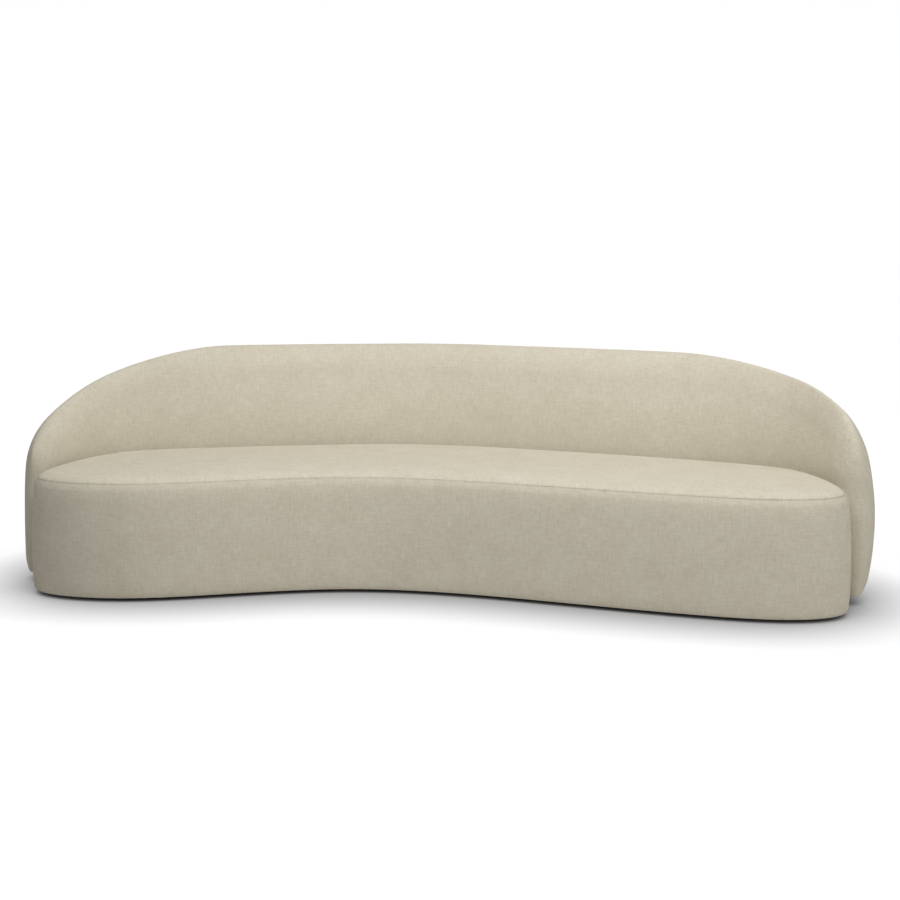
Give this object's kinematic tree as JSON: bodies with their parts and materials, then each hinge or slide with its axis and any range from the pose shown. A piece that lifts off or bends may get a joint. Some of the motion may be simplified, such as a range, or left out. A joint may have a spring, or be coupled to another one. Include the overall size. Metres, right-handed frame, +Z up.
{
  "type": "curved sofa",
  "caption": "Kidney-shaped upholstered sofa: a low tight seat block with a thick rounded back shell wrapped round its rear and both ends, on hidden glides.",
  "frame": {"origin": "on the floor, under the middle of the sofa's bounding box", "axes": "+X along the length, to the right of a viewer in front; -Y is the open front and +Y the back; +Z up"},
  "size_m": [2.9364, 1.0688, 0.772],
  "materials": {
    "seat_linen": "matte",
    "back_linen": "matte",
    "dust_cloth": "matte",
    "foam": "matte",
    "plywood": "matte",
    "fibreboard": "matte",
    "elastic_strap": "matte",
    "nylon": "satin",
    "steel": "satin"
  },
  "bodies": {
    "root": {"seat_base_ring": "plywood", "seat_deck_ring": "plywood", "seat_side_panel": "fibreboard", "seat_webbing": "elastic_strap", "seat_foam": "foam", "seat_side_foam": "foam", "seat_top_cover": "seat_linen", "seat_band_cover": "seat_linen", "seat_dust_cover": "dust_cloth", "seat_divider_1": "plywood", "seat_divider_2": "plywood", "seat_divider_3": "plywood", "seat_divider_4": "plywood", "seat_rear_post_1": "plywood", "seat_rear_post_2": "plywood", "seat_rear_post_3": "plywood", "seat_rear_post_4": "plywood", "seat_rear_post_5": "plywood", "seat_front_post_1": "plywood", "seat_front_post_2": "plywood", "glide_1": "nylon", "glide_2": "nylon", "glide_3": "nylon", "glide_4": "nylon", "glide_5": "nylon", "glide_6": "nylon", "glide_7": "nylon", "glide_8": "nylon", "back_bottom_rail": "plywood", "back_belt_rail": "plywood", "back_top_rail": "plywood", "back_rib_1": "plywood", "back_rib_2": "plywood", "back_rib_3": "plywood", "back_rib_4": "plywood", "back_rib_5": "plywood", "back_rib_6": "plywood", "back_rib_7": "plywood", "back_rib_8": "plywood", "back_rib_9": "plywood", "back_inner_board": "fibreboard", "back_outer_board": "fibreboard", "back_inner_foam": "foam", "back_outer_foam": "foam", "back_roll_foam": "foam", "back_nose_foam_right": "foam", "back_nose_foam_left": "foam", "back_inner_cover": "back_linen", "back_outer_cover": "back_linen", "back_dust_cover": "dust_cloth", "back_bolt_1": "steel", "back_bolt_2": "steel", "back_bolt_3": "steel", "back_bolt_4": "steel", "back_bolt_5": "steel", "back_nut_1": "steel", "back_nut_2": "steel", "back_nut_3": "steel", "back_nut_4": "steel", "back_nut_5": "steel"}
  },
  "joints": []
}
